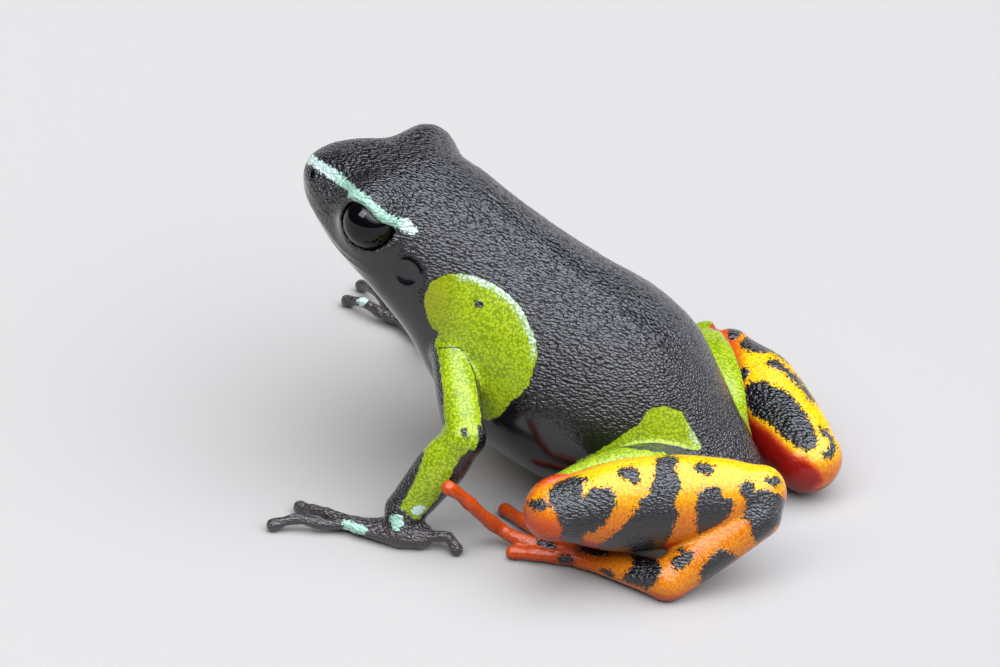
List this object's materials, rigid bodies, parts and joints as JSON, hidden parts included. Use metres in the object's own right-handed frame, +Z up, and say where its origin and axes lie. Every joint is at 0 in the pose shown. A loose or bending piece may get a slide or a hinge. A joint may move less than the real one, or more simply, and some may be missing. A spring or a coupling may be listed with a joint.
{
  "type": "baron's mantella frog, life-size model",
  "caption": "Small ground frog sitting with its chest raised, hind legs folded beside the body: a still, life-size model.",
  "frame": {"origin": "middle of the footprint, on the floor", "axes": "+Z up, the frog faces -Y, and its left side is at +X"},
  "size_m": [0.0226, 0.0274, 0.0145],
  "materials": {
    "skin_black": "moist, finely grained, black",
    "skin_green": "moist, finely grained, yellow-green",
    "skin_orange": "moist, smooth, orange with black bands",
    "skin_red": "moist, smooth, red-orange",
    "skin_grey": "moist, smooth, dark brown-grey",
    "eye_black": "wet gloss, black"
  },
  "bodies": {
    "root": {"head": "skin_black", "torso": "skin_black", "eye_left": "eye_black", "eye_right": "eye_black", "upper_arm_left": "skin_green", "upper_arm_right": "skin_green", "forearm_left": "skin_green", "forearm_right": "skin_green", "hand_left": "skin_grey", "hand_right": "skin_grey", "thigh_left": "skin_green", "thigh_right": "skin_green", "shank_left": "skin_orange", "shank_right": "skin_orange", "tarsus_left": "skin_orange", "tarsus_right": "skin_orange", "foot_left": "skin_red", "foot_right": "skin_red"}
  },
  "joints": []
}
